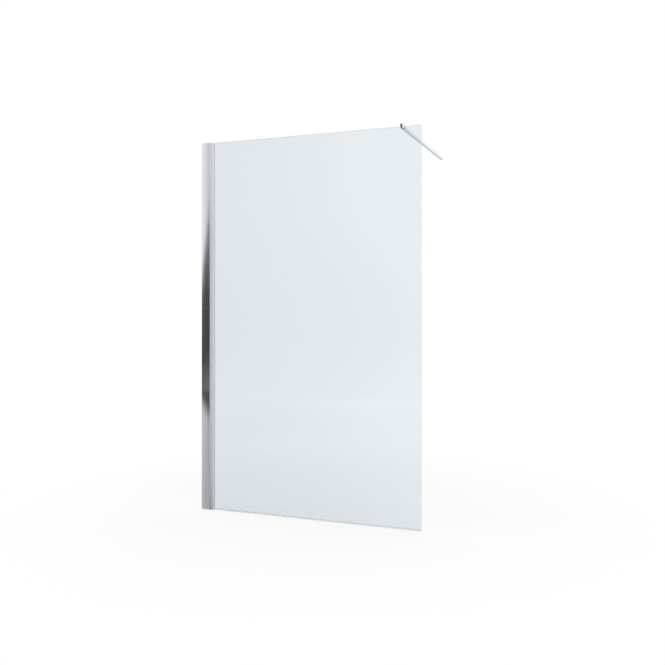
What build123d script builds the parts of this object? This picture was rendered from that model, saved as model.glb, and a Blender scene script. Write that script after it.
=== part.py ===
from build123d import *
import os

# Shower divider panel: one fixed sheet of safety glass, held by a wall channel
# at one edge and steadied by a square bar from its top edge to the rear wall.
# Millimetres, +Z up. X runs from the side wall to the free edge of the glass and
# +Y runs towards the rear wall. The origin lies on the side wall's face, in the
# middle of the glass thickness, at floor level.

# Overall sizes
panel_width = 1200.0
panel_height = 1950.0
rear_wall_distance = 820.0

# Clearances
slide_clearance = 0.3
touch_clearance = 0.1
thread_clearance = 0.05
glass_clearance = 0.05
overcut = 1.0

# Glass sheet
glass_thickness = 8.0
glass_floor_gap = 3.0
glass_corner_radius = 3.0
glass_arris = 0.6

# Wall channel, the outer extrusion screwed to the side wall
wall_channel_width = 26.0
wall_channel_depth = 50.0
wall_channel_web = 2.0
wall_channel_lip = 1.8
wall_channel_edge_radius = 0.6
wall_hole_diameter = 5.0
wall_hole_count = 4
wall_hole_end_distance = 120.0

# Glass channel, the inner extrusion that slides in the wall channel
glass_channel_back = 16.0
glass_channel_reveal = 18.0
glass_channel_web = 1.6
glass_channel_lip = 1.6
glass_channel_floor_gap = 2.0
glass_channel_edge_radius = 0.5
adjust_inward = 5.0
adjust_outward = 10.0

# Glazing gaskets in the mouth of the glass channel
gasket_grip = 8.0
gasket_nose = 1.6
gasket_nose_lap = 1.0
gasket_key_width = 2.0
gasket_key_depth = 0.6
gasket_key_setback = 5.0

# Setting blocks between the glass and the glass channel
edge_gap = 4.4
edge_block_length = 60.0
edge_block_count = 3
edge_block_end_distance = 160.0
foot_block_length = 34.0
foot_block_setback = 2.0

# Clear strip under the glass
strip_leg_thickness = 1.2
strip_leg_height = 6.0
strip_end_gap = 0.5

# Locking screws through the rear lips, with washers, nut plates and covers
lock_screw_count = 4
lock_screw_end_distance = 150.0
lock_screw_diameter = 4.0
lock_screw_length = 8.0
lock_head_diameter = 7.5
lock_head_height = 2.2
lock_head_edge_radius = 0.7
lock_socket_width = 2.5
lock_socket_depth = 1.3
lock_hole_clearance = 0.4
lock_washer_diameter = 10.5
lock_washer_thickness = 1.0
nut_plate_width = 7.0
nut_plate_length = 16.0
nut_plate_thickness = 2.5
screw_cover_wall = 1.0
screw_cover_edge_radius = 0.7

# Cover on top of the wall channel
top_cap_thickness = 2.0
top_cap_tongue_length = 7.0
top_cap_tongue_thickness = 3.0
top_cap_tongue_height = 18.0
top_cap_edge_radius = 0.5

# Clamp block that sits over the top edge of the glass
clamp_setback = 92.0
clamp_width = 20.0
clamp_depth = 24.0
clamp_above_glass = 13.0
clamp_below_glass = 11.5
clamp_corner_radius = 2.5
clamp_front_edge_radius = 2.0
clamp_rear_edge_radius = 0.8
pad_thickness = 1.0
pad_margin = 1.5
clamp_screw_diameter = 6.0
clamp_screw_recess = 0.4
clamp_socket_width = 3.0
clamp_socket_depth = 3.0

# Support bar and its screws
bar_side = 16.0
bar_wall = 1.5
bar_edge_radius = 0.8
bar_drop = 3.5
bar_screw_diameter = 4.0
bar_screw_setback = 12.0
bar_socket_width = 2.0
bar_socket_depth = 1.2
grub_tip_chamfer = 0.4
clamp_spigot_length = 25.0
clamp_spigot_socket = 2.6

# Wall fitting at the far end of the bar
wall_plate_thickness = 3.0
wall_spigot_length = 40.0
wall_spigot_groove_depth = 0.9
wall_bore_diameter = 4.5
wall_counterbore_diameter = 8.0
bar_extension = 20.0

# Places that follow from the sizes above
glass_top = panel_height
wall_channel_top = glass_top + slide_clearance
glass_half = glass_thickness / 2
glass_seat = glass_half + glass_clearance
wall_lip_outer = wall_channel_width / 2
wall_lip_inner = wall_lip_outer - wall_channel_lip
glass_lip_outer = wall_lip_inner - slide_clearance
glass_lip_inner = glass_lip_outer - glass_channel_lip
glass_channel_mouth = wall_channel_depth + glass_channel_reveal
glass_web_face = glass_channel_back + glass_channel_web
glass_edge = glass_web_face + edge_gap
lock_screw_x = glass_web_face + adjust_outward + nut_plate_width / 2 + slide_clearance
clamp_x = panel_width - clamp_setback
clamp_half_depth = clamp_depth / 2
clamp_top = glass_top + clamp_above_glass
clamp_bottom = glass_top - clamp_below_glass
pad_face = glass_half + touch_clearance
slot_half = pad_face + pad_thickness
bar_z = glass_top - bar_drop
bar_bottom = bar_z - bar_side / 2
bar_bore_half = bar_side / 2 - bar_wall
bar_end = rear_wall_distance - wall_plate_thickness


def block(x_range, y_range, z_range):
    """A plain block between three pairs of limits."""
    size = [high - low for low, high in (x_range, y_range, z_range)]
    middle = [(high + low) / 2 for low, high in (x_range, y_range, z_range)]
    return Pos(*middle) * Box(*size)


def rod_along_x(y, z, x_range, diameter):
    """A round rod along X between two limits."""
    low, high = x_range
    return Pos((low + high) / 2, y, z) * Rot(0, 90, 0) * Cylinder(diameter / 2, high - low)


def rod_along_y(x, z, y_range, diameter):
    """A round rod along Y between two limits."""
    low, high = y_range
    middle = Pos(x, (low + high) / 2, z)
    return middle * Rot(90, 0, 0) * Cylinder(diameter / 2, high - low)


def rod_up(x, y, z_range, diameter):
    """A round rod along Z between two limits."""
    low, high = z_range
    return Pos(x, y, (low + high) / 2) * Cylinder(diameter / 2, high - low)


def hexagon_prism(across_flats, length):
    """A hexagonal prism along Z, centred on the origin."""
    radius = across_flats / 3 ** 0.5
    outline = RegularPolygon(radius, 6)
    return extrude(outline, amount=length / 2, both=True)


def spaced(count, end_distance, height):
    """Even heights, the first and the last at one distance from the ends."""
    pitch = (height - 2 * end_distance) / (count - 1)
    return [end_distance + step * pitch for step in range(count)]


def both_sides(piece):
    """A piece and its mirror image across the middle of the glass."""
    return [piece, mirror(piece, about=Plane.XZ)]


def u_section(back, mouth, half_width, web, lip, edge_radius):
    """The section of a U channel that opens towards +X."""
    outside = Pos((back + mouth) / 2, 0) * Rectangle(mouth - back, 2 * half_width)
    section = fillet(outside.vertices(), edge_radius)
    hollow_start = back + web
    hollow_end = mouth + overcut
    hollow = Rectangle(hollow_end - hollow_start, 2 * (half_width - lip))
    return section - Pos((hollow_start + hollow_end) / 2, 0) * hollow


def wall_channel():
    """The outer extrusion, with wall holes in its web and screw holes at the rear."""
    section = u_section(0, wall_channel_depth, wall_lip_outer, wall_channel_web,
                        wall_channel_lip, wall_channel_edge_radius)
    channel = extrude(section, amount=wall_channel_top)
    for z in spaced(wall_hole_count, wall_hole_end_distance, panel_height):
        channel -= rod_along_x(0, z, (-overcut, wall_channel_web + overcut),
                               wall_hole_diameter)
    hole_diameter = lock_screw_diameter + lock_hole_clearance
    for z in spaced(lock_screw_count, lock_screw_end_distance, panel_height):
        limits = (wall_lip_inner - overcut, wall_lip_outer + overcut)
        channel -= rod_along_y(lock_screw_x, z, limits, hole_diameter)
    return channel


def top_cap():
    """The cover plate of the wall channel, with two tongues that plug into it."""
    plate = block((0, wall_channel_depth), (-wall_lip_outer, wall_lip_outer),
                  (wall_channel_top, wall_channel_top + top_cap_thickness))
    upper = plate.faces().sort_by(Axis.Z)[-1]
    upright = plate.edges().filter_by(Axis.Z)
    cap = fillet(upper.edges() + upright, top_cap_edge_radius)
    tongue = block((wall_channel_web, wall_channel_web + top_cap_tongue_length),
                   (wall_lip_inner - top_cap_tongue_thickness, wall_lip_inner),
                   (wall_channel_top - top_cap_tongue_height, wall_channel_top))
    for side in both_sides(tongue):
        cap += side
    return cap


def glass_channel():
    """The inner extrusion, with gasket grooves and the slots for the screws."""
    section = u_section(glass_channel_back, glass_channel_mouth, glass_lip_outer,
                        glass_channel_web, glass_channel_lip, glass_channel_edge_radius)
    key_middle = glass_channel_mouth - gasket_key_setback
    key = Rectangle(gasket_key_width, 2 * (glass_lip_inner + gasket_key_depth))
    section -= Pos(key_middle, 0) * key
    height = glass_top - glass_channel_floor_gap
    channel = Pos(0, 0, glass_channel_floor_gap) * extrude(section, amount=height)
    slot_width = lock_screw_diameter + 2 * lock_hole_clearance
    slot_run = adjust_inward + adjust_outward
    slot_middle = lock_screw_x + (adjust_inward - adjust_outward) / 2
    for z in spaced(lock_screw_count, lock_screw_end_distance, panel_height):
        outline = SlotCenterToCenter(slot_run, slot_width)
        cutter = extrude(outline, amount=2 * glass_channel_lip, both=True)
        channel -= Pos(slot_middle, glass_lip_outer, z) * Rot(90, 0, 0) * cutter
    return channel


def rear_gasket():
    """The wedge gasket on the rear face of the glass, with its key and its nose."""
    bottom = glass_floor_gap
    inner = glass_channel_mouth - gasket_grip
    nose_end = glass_channel_mouth + gasket_nose
    key_middle = glass_channel_mouth - gasket_key_setback
    key_half = gasket_key_width / 2 - touch_clearance
    nose_top = glass_lip_inner + gasket_nose_lap
    outline = Polyline(
        (inner, glass_seat),
        (nose_end, glass_seat),
        (nose_end, glass_half + gasket_nose_lap),
        (glass_channel_mouth + gasket_nose / 2, nose_top),
        (glass_channel_mouth, nose_top),
        (glass_channel_mouth, glass_lip_inner),
        (key_middle + key_half, glass_lip_inner),
        (key_middle + key_half, glass_lip_inner + gasket_key_depth - touch_clearance),
        (key_middle - key_half, glass_lip_inner + gasket_key_depth - touch_clearance),
        (key_middle - key_half, glass_lip_inner),
        (inner, glass_lip_inner - gasket_nose_lap),
        close=True,
    )
    return Pos(0, 0, bottom) * extrude(make_face(outline), amount=glass_top - bottom)


def front_gasket():
    """The same gasket on the front face of the glass."""
    return mirror(rear_gasket(), about=Plane.XZ)


def glass_panel():
    """The glass sheet, with two rounded free corners and a polished arris."""
    sheet = block((glass_edge, panel_width), (-glass_half, glass_half),
                  (glass_floor_gap, glass_top))
    free_corners = sheet.edges().filter_by(Axis.Y).group_by(Axis.X)[-1]
    sheet = fillet(free_corners, glass_corner_radius)
    front = sheet.faces().sort_by(Axis.Y)[0]
    rear = sheet.faces().sort_by(Axis.Y)[-1]
    return chamfer(front.edges() + rear.edges(), glass_arris)


def edge_setting_blocks():
    """Blocks that keep the hidden edge of the glass off the channel's web."""
    blocks = []
    for z in spaced(edge_block_count, edge_block_end_distance, panel_height):
        half = edge_block_length / 2
        blocks.append(block((glass_web_face, glass_edge), (-glass_half, glass_half),
                            (z - half, z + half)))
    return Compound(children=blocks)


def foot_setting_block():
    """The block that carries the glass at the foot of the channel."""
    start = glass_edge + foot_block_setback
    return block((start, start + foot_block_length), (-glass_half, glass_half),
                 (0, glass_floor_gap))


def bottom_strip():
    """The clear U strip that seals the foot of the glass to the floor."""
    start = glass_channel_mouth + gasket_nose + strip_end_gap
    half = glass_half + strip_leg_thickness
    strip = block((start, panel_width), (-half, half),
                  (0, glass_floor_gap + strip_leg_height))
    groove = block((start - overcut, panel_width + overcut), (-glass_seat, glass_seat),
                   (glass_floor_gap - glass_clearance, glass_top))
    corner = block((panel_width - glass_corner_radius, panel_width + overcut),
                   (-half - overcut, half + overcut), (glass_floor_gap, glass_top))
    return strip - groove - corner


def lock_screw():
    """A pan head screw along -Y, its head's seat at the origin."""
    shank = Pos(0, -lock_screw_length / 2, 0) * Rot(90, 0, 0) * Cylinder(
        lock_screw_diameter / 2, lock_screw_length)
    head = Pos(0, lock_head_height / 2, 0) * Rot(90, 0, 0) * Cylinder(
        lock_head_diameter / 2, lock_head_height)
    rim = head.edges().sort_by(Axis.Y)[-1]
    head = fillet(rim, lock_head_edge_radius)
    socket = hexagon_prism(lock_socket_width, 2 * lock_socket_depth)
    return head + shank - Pos(0, lock_head_height, 0) * Rot(90, 0, 0) * socket


def at_lock_screws(piece, y):
    """Copies of a piece at each locking screw."""
    heights = spaced(lock_screw_count, lock_screw_end_distance, panel_height)
    return Compound(children=[Pos(lock_screw_x, y, z) * piece for z in heights])


def lock_screws():
    """The four locking screws."""
    return at_lock_screws(lock_screw(), wall_lip_outer + lock_washer_thickness)


def lock_washers():
    """Flat washers under the screw heads, which the covers snap over."""
    disc = rod_along_y(0, 0, (0, lock_washer_thickness), lock_washer_diameter)
    hole_diameter = lock_screw_diameter + lock_hole_clearance
    disc -= rod_along_y(0, 0, (-overcut, lock_washer_thickness + overcut), hole_diameter)
    return at_lock_screws(disc, wall_lip_outer)


def nut_plates():
    """Threaded plates behind the slots, which draw the two channels together."""
    plate = block((-nut_plate_width / 2, nut_plate_width / 2), (-nut_plate_thickness, 0),
                  (-nut_plate_length / 2, nut_plate_length / 2))
    thread = lock_screw_diameter + 2 * thread_clearance
    plate -= rod_along_y(0, 0, (-nut_plate_thickness - overcut, overcut), thread)
    return at_lock_screws(plate, glass_lip_inner)


def screw_covers():
    """Round covers with a soft rim that hide the screw heads."""
    inside = lock_washer_thickness + lock_head_height + touch_clearance
    bore = lock_washer_diameter + 2 * touch_clearance
    cover = rod_along_y(0, 0, (0, inside + screw_cover_wall), bore + 2 * screw_cover_wall)
    rim = cover.edges().sort_by(Axis.Y)[-1]
    cover = fillet(rim, screw_cover_edge_radius) - rod_along_y(0, 0, (-overcut, inside), bore)
    return at_lock_screws(cover, wall_lip_outer)


def clamp_block():
    """The block over the glass edge, with its slot, screw hole and bar spigot."""
    body = block((clamp_x - clamp_width / 2, clamp_x + clamp_width / 2),
                 (-clamp_half_depth, clamp_half_depth), (clamp_bottom, clamp_top))
    body = fillet(body.edges().filter_by(Axis.Y), clamp_corner_radius)
    body = fillet(body.faces().sort_by(Axis.Y)[0].edges(), clamp_front_edge_radius)
    body = fillet(body.faces().sort_by(Axis.Y)[-1].edges(), clamp_rear_edge_radius)
    body -= block((clamp_x - clamp_width, clamp_x + clamp_width), (-slot_half, slot_half),
                  (clamp_bottom - overcut, glass_top + touch_clearance + pad_thickness))
    body -= rod_along_y(clamp_x, clamp_screw_height(), (-clamp_depth, -slot_half + overcut),
                        clamp_screw_diameter + 2 * thread_clearance)
    half = bar_bore_half - touch_clearance
    body += block((clamp_x - half, clamp_x + half),
                  (clamp_half_depth, clamp_half_depth + clamp_spigot_length),
                  (bar_z - half, bar_z + half))
    spigot_bottom = bar_z - half
    return body - rod_up(clamp_x, front_bar_screw_y(),
                         (spigot_bottom - overcut, spigot_bottom + clamp_spigot_socket),
                         bar_screw_diameter + 2 * thread_clearance)


def clamp_screw_height():
    """The clamp screw's height, in the middle of the front leg."""
    return glass_top - clamp_below_glass / 2


def front_bar_screw_y():
    """The place of the screw that holds the bar to the clamp block."""
    return clamp_half_depth + bar_screw_setback


def rear_bar_screw_y():
    """The place of the screw that holds the bar to the wall fitting."""
    return bar_end - bar_screw_setback


def clamp_rear_pad():
    """The soft pad between the rear leg and the glass."""
    half = clamp_width / 2 - pad_margin
    return block((clamp_x - half, clamp_x + half), (pad_face, slot_half),
                 (clamp_bottom + pad_margin, glass_top))


def clamp_front_pad():
    """The soft pad between the clamp screw and the glass."""
    return mirror(clamp_rear_pad(), about=Plane.XZ)


def clamp_top_pad():
    """The soft pad between the roof of the slot and the top edge of the glass."""
    half = clamp_width / 2 - pad_margin
    low = glass_top + touch_clearance
    return block((clamp_x - half, clamp_x + half), (-glass_half, glass_half),
                 (low, low + pad_thickness))


def grub_screw(diameter, length, socket_width, socket_depth):
    """A headless screw along Z, its socket at the lower end, at the origin."""
    body = Pos(0, 0, length / 2) * Cylinder(diameter / 2, length)
    body = chamfer(body.edges().sort_by(Axis.Z)[-1], grub_tip_chamfer)
    return body - hexagon_prism(socket_width, 2 * socket_depth)


def clamp_screw():
    """The headless screw in the front leg, which presses on the front pad."""
    outer = clamp_half_depth - clamp_screw_recess
    screw = grub_screw(clamp_screw_diameter, outer - slot_half, clamp_socket_width,
                       clamp_socket_depth)
    return Pos(clamp_x, -outer, clamp_screw_height()) * Rot(-90, 0, 0) * screw


def support_bar():
    """The square tube from the clamp block to the wall fitting."""
    section = RectangleRounded(bar_side, bar_side, bar_edge_radius)
    section -= Rectangle(2 * bar_bore_half, 2 * bar_bore_half)
    tube = extrude(section, amount=bar_end - clamp_half_depth)
    tube = Pos(clamp_x, clamp_half_depth, bar_z) * Rot(-90, 0, 0) * tube
    for y in (front_bar_screw_y(), rear_bar_screw_y()):
        tube -= rod_up(clamp_x, y, (bar_bottom - overcut, bar_z),
                       bar_screw_diameter + 2 * thread_clearance)
    return tube


def front_bar_screw():
    """The headless screw that locks the bar onto the clamp block's spigot."""
    spigot_bottom = bar_z - bar_bore_half + touch_clearance
    length = spigot_bottom + clamp_spigot_socket - touch_clearance - bar_bottom
    screw = grub_screw(bar_screw_diameter, length, bar_socket_width, bar_socket_depth)
    return Pos(clamp_x, front_bar_screw_y(), bar_bottom) * screw


def rear_bar_screw():
    """The headless screw that runs in the groove of the wall fitting."""
    spigot_bottom = bar_z - bar_bore_half + slide_clearance
    length = spigot_bottom + wall_spigot_groove_depth - slide_clearance - bar_bottom
    screw = grub_screw(bar_screw_diameter, length, bar_socket_width, bar_socket_depth)
    return Pos(clamp_x, rear_bar_screw_y(), bar_bottom) * screw


def wall_fitting():
    """The wall plate with its spigot, which the end of the bar slides over."""
    section = Pos(clamp_x, bar_z) * RectangleRounded(bar_side, bar_side, bar_edge_radius)
    plate = extrude(section, amount=wall_plate_thickness)
    plate = Pos(0, bar_end, 0) * Rot(90, 0, 0) * mirror(plate, about=Plane.XY)
    half = bar_bore_half - slide_clearance
    start = bar_end - wall_spigot_length
    fitting = plate + block((clamp_x - half, clamp_x + half), (start, bar_end),
                            (bar_z - half, bar_z + half))
    fitting -= rod_along_y(clamp_x, bar_z, (start - overcut, bar_end),
                           wall_counterbore_diameter)
    fitting -= rod_along_y(clamp_x, bar_z, (start, rear_wall_distance + overcut),
                           wall_bore_diameter)
    outline = SlotCenterToCenter(bar_extension, bar_screw_diameter + 2 * slide_clearance)
    groove = extrude(outline, amount=wall_spigot_groove_depth + overcut)
    groove_y = rear_bar_screw_y() - bar_extension / 2
    return fitting - Pos(clamp_x, groove_y, bar_z - half - overcut) * Rot(0, 0, 90) * groove


def main():
    """Write one file for each piece."""
    pieces = {
        "wall_channel": wall_channel(),
        "wall_channel_cap": top_cap(),
        "glass_channel": glass_channel(),
        "front_gasket": front_gasket(),
        "rear_gasket": rear_gasket(),
        "edge_setting_blocks": edge_setting_blocks(),
        "foot_setting_block": foot_setting_block(),
        "glass_panel": glass_panel(),
        "bottom_strip": bottom_strip(),
        "lock_screws": lock_screws(),
        "lock_washers": lock_washers(),
        "nut_plates": nut_plates(),
        "screw_covers": screw_covers(),
        "clamp_block": clamp_block(),
        "clamp_front_pad": clamp_front_pad(),
        "clamp_rear_pad": clamp_rear_pad(),
        "clamp_top_pad": clamp_top_pad(),
        "clamp_screw": clamp_screw(),
        "support_bar": support_bar(),
        "front_bar_screw": front_bar_screw(),
        "rear_bar_screw": rear_bar_screw(),
        "wall_fitting": wall_fitting(),
    }
    os.makedirs("parts", exist_ok=True)
    for name, piece in pieces.items():
        export_step(piece, f"parts/{name}.step")
        print(name, round(piece.volume, 2))


main()
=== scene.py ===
"""Dresses the shower divider panel and sets up the camera and studio for its picture."""

import logging
import math
from dataclasses import dataclass, field
from enum import Enum

import bmesh
import bpy
from mathutils import Matrix, Vector


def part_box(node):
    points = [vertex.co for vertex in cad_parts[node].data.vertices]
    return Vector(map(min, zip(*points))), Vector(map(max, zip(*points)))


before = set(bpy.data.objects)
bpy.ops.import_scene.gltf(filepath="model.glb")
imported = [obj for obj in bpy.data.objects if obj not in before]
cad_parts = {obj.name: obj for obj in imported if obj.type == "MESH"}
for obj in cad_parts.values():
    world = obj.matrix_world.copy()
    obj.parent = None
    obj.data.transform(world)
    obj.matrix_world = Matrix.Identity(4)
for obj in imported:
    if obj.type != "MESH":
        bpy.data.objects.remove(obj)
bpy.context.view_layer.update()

LOGGER = logging.getLogger("shower_panel")
PICTURE_SIDE = 665
QUARTER_TURN = math.radians(90)

# A noise's values lie mostly between these two
NOISE_LOW = 0.3
NOISE_HIGH = 0.7

# A ray's Glossy Depth is past this once it has met a mirror
MIRRORED_ONCE = 0.5

# The least scale of a card's flat side, which can't be 0
LEAST_SCALE = 1.0e-6

Socket = bpy.types.NodeSocket
Value = Socket | float
Colour = tuple[float, float, float]
Point = tuple[float, float, float]
Pair = tuple[float, float]
Stops = tuple[Pair, ...]

WHITE = (1.0, 1.0, 1.0, 1.0)


class Grain(Enum):
    """How a metal surface was worked: its marks per metre along X, Y and Z."""

    DRAWN_UPRIGHT = (900.0, 900.0, 1.5)
    DRAWN_LENGTHWAYS = (900.0, 1.5, 900.0)
    PLATED = (260.0, 260.0, 260.0)
    TURNED = (1400.0, 300.0, 1400.0)


class NodeSheet:
    """The node tree of one material or world, with short calls to add and join nodes."""

    def __init__(self, owner: bpy.types.ID) -> None:
        """Start with an empty tree.

        Args:
            owner: the material or world that holds the tree.
        """
        owner.use_nodes = True
        self.tree = owner.node_tree
        self.tree.nodes.clear()

    def add(self, kind: str, **settings: object) -> bpy.types.Node:
        """Add a node.

        Args:
            kind: the node's type without its ShaderNode prefix.
            **settings: properties of the node to set.

        Returns:
            The new node.
        """
        node = self.tree.nodes.new("ShaderNode" + kind)
        for name, value in settings.items():
            setattr(node, name, value)
        return node

    def join(self, source: Socket, target: Socket) -> None:
        """Link an output socket to an input socket."""
        self.tree.links.new(source, target)

    def feed(self, socket: Socket, value: Value) -> None:
        """Link a socket to an input, or set the input to a number.

        Args:
            socket: the input.
            value: a socket or a number.
        """
        if isinstance(value, Socket):
            self.join(value, socket)
        else:
            socket.default_value = value

    def math(self, operation: str, first: Value, second: Value = 0.0) -> Socket:
        """Add a Math node.

        Args:
            operation: the Math node's operation.
            first: a socket or a number.
            second: a socket or a number.

        Returns:
            The node's output socket.
        """
        node = self.add("Math", operation=operation)
        self.feed(node.inputs[0], first)
        self.feed(node.inputs[1], second)
        return node.outputs[0]

    def place(self) -> tuple[Socket, ...]:
        """Give the point's own coordinates.

        Returns:
            The sockets of X, Y and Z, in metres.
        """
        coordinates = self.add("TexCoord")
        parts = self.add("SeparateXYZ")
        self.join(coordinates.outputs["Object"], parts.inputs[0])
        return tuple(parts.outputs)

    def marks(self, scale: Point, detail: float) -> Socket:
        """Add a noise pattern on the piece's own coordinates.

        Args:
            scale: how many marks there are in a metre along X, Y and Z.
            detail: the noise's detail.

        Returns:
            The noise value's socket.
        """
        coordinates = self.add("TexCoord")
        stretch = self.add("Mapping")
        stretch.inputs["Scale"].default_value = scale
        noise = self.add("TexNoise")
        noise.inputs["Scale"].default_value = 1.0
        noise.inputs["Detail"].default_value = detail
        self.join(coordinates.outputs["Object"], stretch.inputs["Vector"])
        self.join(stretch.outputs["Vector"], noise.inputs["Vector"])
        return noise.outputs[0]

    def ranged(self, value: Socket, source: Pair, target: Pair,
               smooth: bool = False, clamped: bool = True) -> Socket:
        """Map one range of values onto another.

        Args:
            value: the value's socket.
            source: the range that is mapped.
            target: the range it is mapped onto.
            smooth: whether the ends are eased.
            clamped: whether the result stays within the target.

        Returns:
            The mapped value's socket.
        """
        kind = "SMOOTHSTEP" if smooth else "LINEAR"
        node = self.add("MapRange", interpolation_type=kind, clamp=clamped)
        self.join(value, node.inputs["Value"])
        node.inputs["From Min"].default_value = source[0]
        node.inputs["From Max"].default_value = source[1]
        node.inputs["To Min"].default_value = target[0]
        node.inputs["To Max"].default_value = target[1]
        return node.outputs["Result"]

    def spread(self, value: Socket, low: float, high: float) -> Socket:
        """Map the middle part of a noise's values onto a range."""
        return self.ranged(value, (NOISE_LOW, NOISE_HIGH), (low, high))

    def tone(self, value: Socket, dark: Colour, light: Colour) -> Socket:
        """Blend two colours by a value.

        Args:
            value: a value from 0 to 1.
            dark: the colour at 0.
            light: the colour at 1.

        Returns:
            The colour's socket.
        """
        ramp = self.add("ValToRGB")
        ramp.color_ramp.elements[0].color = (*dark, 1.0)
        ramp.color_ramp.elements[1].color = (*light, 1.0)
        self.join(value, ramp.inputs["Fac"])
        return ramp.outputs["Color"]

    def steps(self, value: Socket, stops: Stops) -> Socket:
        """Map a value through a line with several stops.

        Args:
            value: the value's socket.
            stops: pairs of a value and its grey, in rising order.

        Returns:
            The grey's socket.
        """
        low, high = stops[0][0], stops[-1][0]
        ramp = self.add("ValToRGB")
        elements = ramp.color_ramp.elements
        while len(elements) < len(stops):
            elements.new(1.0)
        for element, (at, grey) in zip(elements, stops):
            element.position = (at - low) / (high - low)
            element.color = (grey, grey, grey, 1.0)
        self.join(self.ranged(value, (low, high), (0.0, 1.0)), ramp.inputs["Fac"])
        return ramp.outputs["Color"]

    def bump(self, height: Socket, distance: float) -> Socket:
        """Add a bump of a real depth.

        Args:
            height: the pattern's value.
            distance: the depth in metres.

        Returns:
            The normal's socket.
        """
        node = self.add("Bump")
        node.inputs["Strength"].default_value = 1.0
        node.inputs["Distance"].default_value = distance
        self.join(height, node.inputs["Height"])
        return node.outputs["Normal"]

    def blend(self, share: Socket, first: Value, second: Value) -> Socket:
        """Mix two values.

        Args:
            share: how much of the second one there is, from 0 to 1.
            first: a socket or a number.
            second: a socket or a number.

        Returns:
            The mixed value's socket.
        """
        node = self.add("Mix", data_type="FLOAT")
        self.join(share, node.inputs["Factor"])
        self.feed(node.inputs["A"], first)
        self.feed(node.inputs["B"], second)
        return node.outputs["Result"]

    def seen(self) -> Socket:
        """Tell rays that the eye, a mirror or a clear sheet sends from the rest.

        Returns:
            A socket that is 1 for those rays and 0 for the light's own.
        """
        rays = self.add("LightPath")
        mirrored = self.math("MAXIMUM", rays.outputs["Is Glossy Ray"],
                             rays.outputs["Is Transmission Ray"])
        return self.math("MAXIMUM", rays.outputs["Is Camera Ray"], mirrored)

    def mix(self, share: Socket, first: Socket, second: Socket) -> Socket:
        """Mix two shaders.

        Args:
            share: how much of the second one there is, from 0 to 1.
            first: the first shader.
            second: the second shader.

        Returns:
            The mixed shader's socket.
        """
        node = self.add("MixShader")
        self.join(share, node.inputs[0])
        self.join(first, node.inputs[1])
        self.join(second, node.inputs[2])
        return node.outputs[0]

    def close(self, surface: Socket, kind: str = "OutputMaterial") -> None:
        """Join the finished shader to the tree's output."""
        self.join(surface, self.add(kind).inputs["Surface"])


@dataclass(frozen=True)
class MetalFinish:
    """A bright metal: plated, polished or turned."""

    name: str
    dark: Colour
    light: Colour
    smooth: float
    rough: float
    grain: Grain
    mark_depth: float
    metal: float = 1.0
    mark_detail: float = 3.0
    wipes: Point = (9.0, 9.0, 5.0)
    wipe_detail: float = 2.0
    wipe_share: float = 0.5

    def build(self) -> bpy.types.Material:
        """Make the material.

        Returns:
            A metal with fine marks along its grain and faint wiping marks.
        """
        material = bpy.data.materials.new(self.name)
        sheet = NodeSheet(material)
        surface = sheet.add("BsdfPrincipled")
        surface.inputs["Metallic"].default_value = self.metal
        marks = sheet.marks(self.grain.value, self.mark_detail)
        wiped = sheet.marks(self.wipes, self.wipe_detail)
        most = (self.rough - self.smooth) * self.wipe_share
        shine = sheet.math("ADD", sheet.spread(marks, self.smooth, self.rough),
                           sheet.spread(wiped, 0.0, most))
        sheet.join(shine, surface.inputs["Roughness"])
        sheet.join(sheet.tone(wiped, self.dark, self.light), surface.inputs["Base Color"])
        sheet.join(sheet.bump(marks, self.mark_depth), surface.inputs["Normal"])
        sheet.close(surface.outputs[0])
        return material


@dataclass(frozen=True)
class GlassFinish:
    """Clear float glass with polished edges."""

    name: str
    tint: Colour
    edge_tint: Colour
    face_half: float
    face_share: float = 0.999
    refraction: float = 1.52
    shine: float = 0.65
    edge_roughness: float = 0.30
    edge_transmission: float = 0.30
    wave_length: float = 0.45
    wave_stretch: float = 3.0
    wave_detail: float = 1.0
    wave_depth: float = 0.00002

    def build(self) -> bpy.types.Material:
        """Make the material.

        Returns:
            Clear glass, faintly wavy, whose edges are paler and softer than its faces.
        """
        material = bpy.data.materials.new(self.name)
        sheet = NodeSheet(material)
        surface = sheet.add("BsdfPrincipled")
        surface.inputs["IOR"].default_value = self.refraction
        surface.inputs["Specular IOR Level"].default_value = self.shine
        across = sheet.math("ABSOLUTE", sheet.place()[1])
        face = sheet.math("GREATER_THAN", across, self.face_half * self.face_share)
        sheet.join(sheet.tone(face, self.edge_tint, self.tint), surface.inputs["Base Color"])
        sheet.join(sheet.ranged(face, (0.0, 1.0), (self.edge_roughness, 0.0)),
                   surface.inputs["Roughness"])
        sheet.join(sheet.ranged(face, (0.0, 1.0), (self.edge_transmission, 1.0)),
                   surface.inputs["Transmission Weight"])
        per_metre = 1.0 / self.wave_length
        waves = sheet.marks((per_metre, per_metre, per_metre / self.wave_stretch),
                            self.wave_detail)
        sheet.join(sheet.bump(waves, self.wave_depth), surface.inputs["Normal"])
        clear = sheet.add("BsdfTransparent")
        clear.inputs["Color"].default_value = (*self.tint, 1.0)
        rays = sheet.add("LightPath")
        sheet.close(sheet.mix(rays.outputs["Is Shadow Ray"], surface.outputs[0],
                              clear.outputs[0]))
        return material


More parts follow.
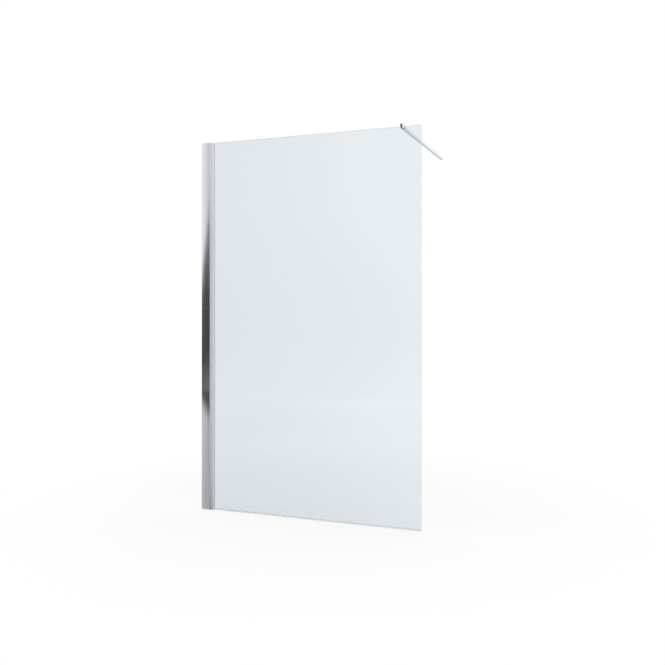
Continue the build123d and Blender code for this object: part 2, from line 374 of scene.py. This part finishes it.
@dataclass(frozen=True)
class ClearPlasticFinish:
    """Soft clear plastic, a little milky."""

    name: str
    dark: Colour
    light: Colour
    alpha: float
    roughness: float
    grain_size: float
    grain_depth: float
    grain_detail: float = 2.0

    def build(self) -> bpy.types.Material:
        """Make the material.

        Returns:
            A see-through plastic with a mottled milkiness.
        """
        material = bpy.data.materials.new(self.name)
        sheet = NodeSheet(material)
        surface = sheet.add("BsdfPrincipled")
        surface.inputs["Alpha"].default_value = self.alpha
        surface.inputs["Roughness"].default_value = self.roughness
        per_metre = 1.0 / self.grain_size
        grain = sheet.marks((per_metre, per_metre, per_metre), self.grain_detail)
        sheet.join(sheet.tone(grain, self.dark, self.light), surface.inputs["Base Color"])
        sheet.join(sheet.bump(grain, self.grain_depth), surface.inputs["Normal"])
        sheet.close(surface.outputs[0])
        return material


@dataclass(frozen=True)
class MouldedFinish:
    """Moulded rubber or plastic."""

    name: str
    dark: Colour
    light: Colour
    smooth: float
    rough: float
    grain_size: float
    grain_depth: float
    grain_detail: float = 4.0

    def build(self) -> bpy.types.Material:
        """Make the material.

        Returns:
            A moulded surface with fine grain and a mottled tone.
        """
        material = bpy.data.materials.new(self.name)
        sheet = NodeSheet(material)
        surface = sheet.add("BsdfPrincipled")
        per_metre = 1.0 / self.grain_size
        grain = sheet.marks((per_metre, per_metre, per_metre), self.grain_detail)
        sheet.join(sheet.tone(grain, self.dark, self.light), surface.inputs["Base Color"])
        sheet.join(sheet.spread(grain, self.smooth, self.rough), surface.inputs["Roughness"])
        sheet.join(sheet.bump(grain, self.grain_depth), surface.inputs["Normal"])
        sheet.close(surface.outputs[0])
        return material


Finish = MetalFinish | GlassFinish | ClearPlasticFinish | MouldedFinish

CHANNEL_CHROME = MetalFinish("channel_chrome", (0.80, 0.835, 0.88), (0.83, 0.865, 0.91),
                             0.02, 0.05, Grain.DRAWN_UPRIGHT, 0.0000002)
CHANNEL_SATIN = MetalFinish("channel_satin", (0.80, 0.835, 0.87), (0.85, 0.885, 0.92),
                            0.30, 0.40, Grain.DRAWN_UPRIGHT, 0.000001, 0.75)
BAR_CHROME = MetalFinish("bar_chrome", (0.80, 0.835, 0.88), (0.83, 0.865, 0.91),
                         0.02, 0.05, Grain.DRAWN_LENGTHWAYS, 0.0000002)
PLATED_CHROME = MetalFinish("plated_chrome", (0.80, 0.835, 0.88), (0.84, 0.875, 0.92),
                            0.01, 0.03, Grain.PLATED, 0.0000002)
COVER_CHROME = MetalFinish("cover_chrome", (0.78, 0.815, 0.86), (0.83, 0.865, 0.91),
                           0.05, 0.10, Grain.PLATED, 0.0000008)
STAINLESS = MetalFinish("stainless", (0.50, 0.50, 0.50), (0.62, 0.62, 0.61),
                        0.20, 0.38, Grain.TURNED, 0.000003)
SAFETY_GLASS = GlassFinish("safety_glass", (0.805, 0.847, 0.885), (0.96, 0.985, 0.99),
                           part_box("glass_panel")[1][1])
CLEAR_STRIP = ClearPlasticFinish("clear_strip", (0.84, 0.87, 0.90), (0.92, 0.94, 0.96),
                                 0.30, 0.20, 0.03, 0.00002)
GASKET = MouldedFinish("gasket", (0.88, 0.91, 0.94), (0.94, 0.96, 0.98),
                       0.35, 0.55, 0.004, 0.00002)
SETTING_BLOCK = MouldedFinish("setting_block", (0.10, 0.10, 0.11), (0.16, 0.16, 0.17),
                              0.45, 0.65, 0.002, 0.00005)
CLAMP_PAD = MouldedFinish("clamp_pad", (0.02, 0.02, 0.02), (0.05, 0.05, 0.05),
                          0.60, 0.80, 0.0015, 0.00006)


@dataclass
class SubAssembly:
    """Pieces that move together, and the finish of each."""

    body: str
    finishes: dict[str, Finish]

    def dress(self, made: dict[Finish, bpy.types.Material]) -> None:
        """Give every piece its finish.

        Args:
            made: the materials made so far, which this adds to.
        """
        for piece, finish in self.finishes.items():
            if finish not in made:
                made[finish] = finish.build()
            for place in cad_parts[piece].material_slots:
                place.material = made[finish]
            LOGGER.info("%s: %s in %s", self.body, piece, finish.name)


@dataclass
class WallFrame(SubAssembly):
    """The wall channel and what is fixed to it."""

    body: str = "wall_frame"
    finishes: dict[str, Finish] = field(default_factory=lambda: {
        "wall_channel": CHANNEL_CHROME,
        "wall_channel_cap": COVER_CHROME,
        "lock_screws": STAINLESS,
        "lock_washers": STAINLESS,
        "nut_plates": STAINLESS,
        "screw_covers": COVER_CHROME,
    })


@dataclass
class GlassLeaf(SubAssembly):
    """The glass, its channel and its seals."""

    body: str = "glass_leaf"
    finishes: dict[str, Finish] = field(default_factory=lambda: {
        "glass_channel": CHANNEL_SATIN,
        "front_gasket": GASKET,
        "rear_gasket": GASKET,
        "edge_setting_blocks": SETTING_BLOCK,
        "foot_setting_block": SETTING_BLOCK,
        "glass_panel": SAFETY_GLASS,
        "bottom_strip": CLEAR_STRIP,
    })


@dataclass
class BarAssembly(SubAssembly):
    """The clamp block on the glass, and the support bar."""

    body: str = "bar_assembly"
    finishes: dict[str, Finish] = field(default_factory=lambda: {
        "clamp_block": PLATED_CHROME,
        "clamp_front_pad": CLAMP_PAD,
        "clamp_rear_pad": CLAMP_PAD,
        "clamp_top_pad": CLAMP_PAD,
        "clamp_screw": STAINLESS,
        "support_bar": BAR_CHROME,
        "front_bar_screw": STAINLESS,
        "rear_bar_screw": STAINLESS,
    })


@dataclass
class WallEnd(SubAssembly):
    """The fitting at the bar's far end."""

    body: str = "wall_end"
    finishes: dict[str, Finish] = field(default_factory=lambda: {
        "wall_fitting": PLATED_CHROME,
    })


@dataclass
class Camera:
    """The picture's camera, level and turned a little to the left."""

    place: Point = (2.1355, -3.595, 1.0552)
    turn_degrees: float = 21.165
    lens_pixels: float = 770.07
    horizon_pixel: float = 311.45
    sensor_mm: float = 36.0
    reach: float = 200.0

    def build(self) -> None:
        """Make the camera and set it as the scene's."""
        data = bpy.data.cameras.new("camera")
        data.sensor_width = self.sensor_mm
        data.lens = self.sensor_mm * self.lens_pixels / PICTURE_SIDE
        data.shift_y = (self.horizon_pixel - PICTURE_SIDE / 2) / PICTURE_SIDE
        data.clip_end = self.reach
        camera = bpy.data.objects.new("camera", data)
        camera.location = self.place
        camera.rotation_euler = (QUARTER_TURN, 0.0, math.radians(self.turn_degrees))
        bpy.context.scene.collection.objects.link(camera)
        bpy.context.scene.camera = camera


@dataclass
class MirrorCard:
    """A large card that only mirrors see, which gives chrome and glass their tones."""

    name: str
    low: Point
    high: Point
    # a plain card's dark glow, a painted dark reflection, as on the clamp's flags
    plain_tone: float = 0.06

    def build(self) -> None:
        """Make the card, with its tones."""
        material = bpy.data.materials.new(self.name)
        sheet = NodeSheet(material)
        glow = sheet.add("Emission")
        sheet.feed(glow.inputs["Strength"], self.shade(sheet))
        rays = sheet.add("LightPath")
        mirrored = sheet.math("GREATER_THAN", rays.outputs["Glossy Depth"], MIRRORED_ONCE)
        nothing = sheet.add("BsdfTransparent")
        sheet.close(sheet.mix(mirrored, nothing.outputs[0], glow.outputs[0]))
        shape = bmesh.new()
        bmesh.ops.create_grid(shape, x_segments=1, y_segments=1, size=0.5)
        self.stretch(shape)
        mesh = bpy.data.meshes.new(self.name)
        shape.to_mesh(mesh)
        shape.free()
        mesh.materials.append(material)
        card = bpy.data.objects.new(self.name, mesh)
        card.visible_camera = False
        card.visible_diffuse = False
        card.visible_shadow = False
        bpy.context.scene.collection.objects.link(card)
        LOGGER.info("studio: %s", self.name)

    def stretch(self, shape: bmesh.types.BMesh) -> None:
        """Turn and size the one-metre grid so that it fills the card's box.

        Args:
            shape: the grid.
        """
        low, high = Vector(self.low), Vector(self.high)
        size = high - low
        flat = min(range(3), key=lambda axis: size[axis])
        turn = Matrix.Rotation(QUARTER_TURN, 4, "Y" if flat == 0 else "X")
        if flat == 2:
            turn = Matrix.Identity(4)
        bmesh.ops.transform(shape, matrix=turn, verts=shape.verts)
        sides = [max(side, LEAST_SCALE) for side in size]
        bmesh.ops.scale(shape, vec=sides, verts=shape.verts)
        bmesh.ops.translate(shape, vec=(low + high) / 2, verts=shape.verts)

    def shade(self, sheet: NodeSheet) -> Value:
        """Give the card's tone.

        Args:
            sheet: the card's material.

        Returns:
            The strength of the glow, where 1 is white, as a number or a socket.
        """
        return self.plain_tone


@dataclass
class FrontCard(MirrorCard):
    """Painted reflection of the room in front: dark at the left, bright past a bell-shaped edge
    at the right.

    At its left end a painted bright window stands above a steep slope, which paints the wall
    channel's reflection.
    """

    name: str = "front_card"
    low: Point = (-5.0, -5.4, 0.0)
    high: Point = (7.0, -5.4, 5.2)
    edge_foot: float = -1.33
    edge_reach: float = 1.03
    edge_height: float = 0.93
    edge_spread: float = 1.05
    # painted reflection tones, by the distance past the bell-shaped edge
    tones: Stops = ((-2.7, 0.06), (-1.9, 0.26), (-1.2, 0.36), (-0.62, 0.50), (-0.46, 0.60),
                    (-0.05, 0.70), (0.06, 0.86), (0.5, 0.96), (0.9, 1.0))
    slope_low: Pair = (-3.248, 1.142)
    slope_high: Pair = (-3.125, 2.213)
    slope_blur: float = 0.035
    painted_window_left: float = -3.6
    painted_window_tones: Stops = ((-3.215, 1.0), (-3.20, 0.94), (-3.185, 0.88), (-3.17, 0.84),
                           (-3.15, 0.82), (-3.135, 0.74), (-3.11, 0.66), (-3.08, 0.62))

    def room(self, sheet: NodeSheet, x: Socket, z: Value) -> Socket:
        """Work out the room's painted reflection tone from the distance to the bell-shaped edge.

        Args:
            sheet: the card's material.
            x: the place across.
            z: the height, as a socket or a number.

        Returns:
            The tone's socket.
        """
        rise = sheet.math("DIVIDE", sheet.math("SUBTRACT", z, self.edge_height),
                          self.edge_spread)
        fall = sheet.math("MULTIPLY", sheet.math("MULTIPLY", rise, rise), -1.0)
        bell = sheet.math("MULTIPLY", sheet.math("EXPONENT", fall), self.edge_reach)
        edge = sheet.math("ADD", bell, self.edge_foot)
        return sheet.steps(sheet.math("SUBTRACT", x, edge), self.tones)

    def shade(self, sheet: NodeSheet) -> Socket:
        """Give the painted reflection tones of the room and the window.

        Args:
            sheet: the card's material.

        Returns:
            The socket of the glow's strength.
        """
        x, _, z = sheet.place()
        (low_x, low_z), (high_x, high_z) = self.slope_low, self.slope_high
        slope = sheet.ranged(z, (low_z, high_z), (low_x, high_x), clamped=False)
        past = sheet.math("SUBTRACT", slope, x)
        lit = sheet.ranged(past, (-self.slope_blur, self.slope_blur), (0.0, 1.0), True)
        share = sheet.math("MULTIPLY", lit, sheet.math("GREATER_THAN", x, self.painted_window_left))
        # painted reflection: the bright window band over the room's tones, which the wall channel
        # mirrors
        return sheet.blend(share, self.room(sheet, x, z), sheet.steps(x, self.painted_window_tones))


@dataclass
class RearCard(MirrorCard):
    """Painted reflection of the room behind: bright in the middle, with painted shade at its foot
    and dark at both ends.
    """

    name: str = "rear_card"
    low: Point = (-9.0, 6.2, 0.0)
    high: Point = (9.0, 6.2, 5.2)
    middle: float = 0.4
    tones: Stops = ((2.1, 1.0), (2.6, 0.96), (3.1, 0.12), (6.5, 0.06), (8.0, 0.5))
    foot_heights: Pair = (1.0, 1.4)
    foot_tone: float = 0.66

    def wall(self, sheet: NodeSheet, x: Socket, level: Value) -> Socket:
        """Work out the tone from the distance to the card's middle.

        Args:
            sheet: the card's material.
            x: the place across.
            level: what the tone is multiplied by, as a socket or a number.

        Returns:
            The tone's socket.
        """
        away = sheet.math("ABSOLUTE", sheet.math("SUBTRACT", x, self.middle))
        return sheet.math("MULTIPLY", sheet.steps(away, self.tones), level)

    def shade(self, sheet: NodeSheet) -> Socket:
        """Give the painted reflection tones of the wall and the painted shade of its darker foot.

        Args:
            sheet: the card's material.

        Returns:
            The socket of the glow's strength.
        """
        x, _, z = sheet.place()
        # painted shade: the card's foot is darker
        rise = sheet.ranged(z, self.foot_heights, (self.foot_tone, 1.0), True)
        return self.wall(sheet, x, rise)


@dataclass
class FloorCard(MirrorCard):
    """A painted reflection of a darker floor, seen only by mirrors: darker to the left and past
    the front room's foot.

    It runs out into the white at its left end, and into the rear card's foot at the back.
    A line across it is given by its Y where X is 0, and by its rise in Y per metre of X.
    """

    name: str = "floor_card"
    low: Point = (-5.0, -5.4, 0.002)
    high: Point = (9.0, 6.2, 0.002)
    lean: float = 0.42
    tones: Stops = ((-0.6, 0.08), (0.1, 0.12), (0.6, 0.38), (1.35, 0.85), (2.2, 1.0))
    foot_line: Pair = (-5.4, -0.32)
    foot_blur: float = 0.12
    foot_glow: float = 0.25
    glow_reach: float = 2.0
    strip_lean: float = 0.577
    strip_edge: float = 0.055
    strip_tones: Stops = ((-0.06, 0.64), (-0.01, 0.58), (0.03, 0.46), (0.05, 0.44))
    strip_line: Pair = (-0.57, 1.46)
    tone_past_strip: float = -0.027
    left_fade: Pair = (-5.0, -3.7)
    rear_fade: Pair = (3.0, 6.2)

    def past_line(self, sheet: NodeSheet, x: Socket, y: Socket, line: Pair) -> Socket:
        """Work out how far behind a line a point of the floor lies.

        Args:
            sheet: the card's material.
            x: the place across.
            y: the place from front to back.
            line: the line.

        Returns:
            The distance's socket, in metres of Y.
        """
        start, rake = line
        along = sheet.math("ADD", sheet.math("MULTIPLY", x, rake), start)
        return sheet.math("SUBTRACT", y, along)

    def shade(self, sheet: NodeSheet) -> Socket:
        """Give the painted reflection tones of the floor and of the strip that the wall channel
        mirrors.

        Args:
            sheet: the card's material.

        Returns:
            The socket of the glow's strength.
        """
        x, y, _ = sheet.place()
        near = self.past_line(sheet, x, y, self.foot_line)
        across = sheet.math("SUBTRACT", x, sheet.math("MULTIPLY", y, self.lean))
        # painted light: the mirrored floor glows brighter near the front card's foot
        glow = sheet.ranged(near, (0.0, self.glow_reach), (self.foot_glow, 0.0))
        open_floor = sheet.math("ADD", sheet.steps(across, self.tones), glow)
        # a painted reflection strip that only the wall channel sees
        beside = sheet.math("SUBTRACT", x, sheet.math("MULTIPLY", y, self.strip_lean))
        strip = sheet.math("LESS_THAN", beside, self.strip_edge)
        floor = sheet.blend(strip, open_floor, sheet.steps(beside, self.strip_tones))
        room = sheet.blend(strip, FrontCard().room(sheet, x, 0.0),
                           sheet.math("MULTIPLY", x, self.tone_past_strip))
        reach = sheet.blend(strip, near, self.past_line(sheet, x, y, self.strip_line))
        past = sheet.ranged(reach, (-self.foot_blur, self.foot_blur), (0.0, 1.0), True)
        left = sheet.ranged(x, self.left_fade, (1.0, 0.0), True)
        rear = sheet.ranged(y, self.rear_fade, (0.0, 1.0), True)
        open_tone = sheet.blend(left, sheet.blend(past, room, floor), 1.0)
        rear_card = RearCard()
        return sheet.blend(rear, open_tone, rear_card.wall(sheet, x, rear_card.foot_tone))


@dataclass(frozen=True)
class SoftLamp:
    """A large soft lamp that neither mirrors nor clear sheets show."""

    name: str
    place: Point
    power: float
    target: Point = (0.6, 0.2, 0.9)
    side: float = 2.4

    def build(self) -> None:
        """Make the lamp and point it at its target."""
        data = bpy.data.lights.new(self.name, "AREA")
        data.size = self.side
        data.energy = self.power
        lamp = bpy.data.objects.new(self.name, data)
        lamp.location = self.place
        away = Vector(self.place) - Vector(self.target)
        lamp.rotation_euler = away.to_track_quat("Z", "Y").to_euler()
        lamp.visible_glossy = False
        lamp.visible_transmission = False
        bpy.context.scene.collection.objects.link(lamp)


@dataclass
class Studio:
    """A plain white studio: world, floor, mirror cards and soft lamps."""

    world_strength: float = 0.75
    floor_radius: float = 30.0
    floor_segments: int = 96
    floor_grey: float = 0.90
    floor_white: float = 0.75
    floor_middle: Point = (0.6, 0.3, 0.0)
    fade_range: Pair = (0.7, 1.9)
    # small dark cards seen only in mirrors, which paint a dark reflection on the clamp's face
    flag_y: float = -0.512
    flag_foot: float = 2.0615
    upright_flag: Pair = (0.9530, 0.9650)
    upright_flag_top: float = 2.0910
    level_flag: Pair = (0.9651, 0.9690)
    level_flag_top: float = 2.0680
    lamps: tuple[SoftLamp, ...] = (
        SoftLamp("key_lamp", (2.6, -3.2, 3.4), 60.0),
        SoftLamp("fill_lamp", (-2.8, -2.0, 2.6), 25.0),
        SoftLamp("back_lamp", (1.4, 3.4, 3.2), 25.0),
    )

    def build(self) -> None:
        """Make the world, the floor, the cards and the lamps."""
        self.make_world()
        self.make_floor()
        for card in (FrontCard(), RearCard(), FloorCard(), *self.clamp_dark_reflections()):
            card.build()
        for lamp in self.lamps:
            lamp.build()

    def clamp_dark_reflections(self) -> tuple[MirrorCard, MirrorCard]:
        """Two small dark cards in front of the clamp, seen only in mirrors, which paint a dark
        reflection along the edges of its bright face.

        Returns:
            The upright one and the level one.
        """
        left, right = self.upright_flag
        upright = MirrorCard("upright_flag", (left, self.flag_y, self.flag_foot),
                             (right, self.flag_y, self.upright_flag_top))
        left, right = self.level_flag
        level = MirrorCard("level_flag", (left, self.flag_y, self.flag_foot),
                           (right, self.flag_y, self.level_flag_top))
        return upright, level

    def make_world(self) -> None:
        """White to the eye and to mirrors, and a soft even light on everything."""
        world = bpy.data.worlds.new("studio")
        bpy.context.scene.world = world
        sheet = NodeSheet(world)
        light = sheet.add("Background")
        light.inputs["Color"].default_value = WHITE
        strength = sheet.ranged(sheet.seen(), (0.0, 1.0), (self.world_strength, 1.0))
        sheet.join(strength, light.inputs["Strength"])
        sheet.close(light.outputs[0], "OutputWorld")

    def make_floor(self) -> None:
        """A pale floor that keeps a soft shadow and fades into the white."""
        material = bpy.data.materials.new("floor_white")
        sheet = NodeSheet(material)
        matt = sheet.add("BsdfDiffuse")
        matt.inputs["Color"].default_value = (self.floor_grey,) * 3 + (1.0,)
        white = sheet.add("Emission")
        white.inputs["Color"].default_value = WHITE
        white.inputs["Strength"].default_value = 1.0
        coordinates = sheet.add("TexCoord")
        away = sheet.add("VectorMath", operation="DISTANCE")
        sheet.join(coordinates.outputs["Object"], away.inputs[0])
        away.inputs[1].default_value = self.floor_middle
        fade = sheet.ranged(away.outputs["Value"], self.fade_range, (self.floor_white, 1.0), True)
        share = sheet.math("MULTIPLY", sheet.seen(), fade)
        sheet.close(sheet.mix(share, matt.outputs[0], white.outputs[0]))
        shape = bmesh.new()
        bmesh.ops.create_circle(shape, cap_ends=True, segments=self.floor_segments,
                                radius=self.floor_radius)
        mesh = bpy.data.meshes.new("floor")
        shape.to_mesh(mesh)
        shape.free()
        mesh.materials.append(material)
        floor = bpy.data.objects.new("floor", mesh)
        bpy.context.scene.collection.objects.link(floor)


def main() -> None:
    """Build the picture in order: view settings, studio, camera and pieces."""
    logging.basicConfig(level=logging.INFO)
    bpy.context.scene.view_settings.view_transform = "Standard"
    Camera().build()
    Studio().build()
    made: dict[Finish, bpy.types.Material] = {}
    for part in (WallFrame(), GlassLeaf(), BarAssembly(), WallEnd()):
        part.dress(made)


if __name__ == "__main__":
    main()
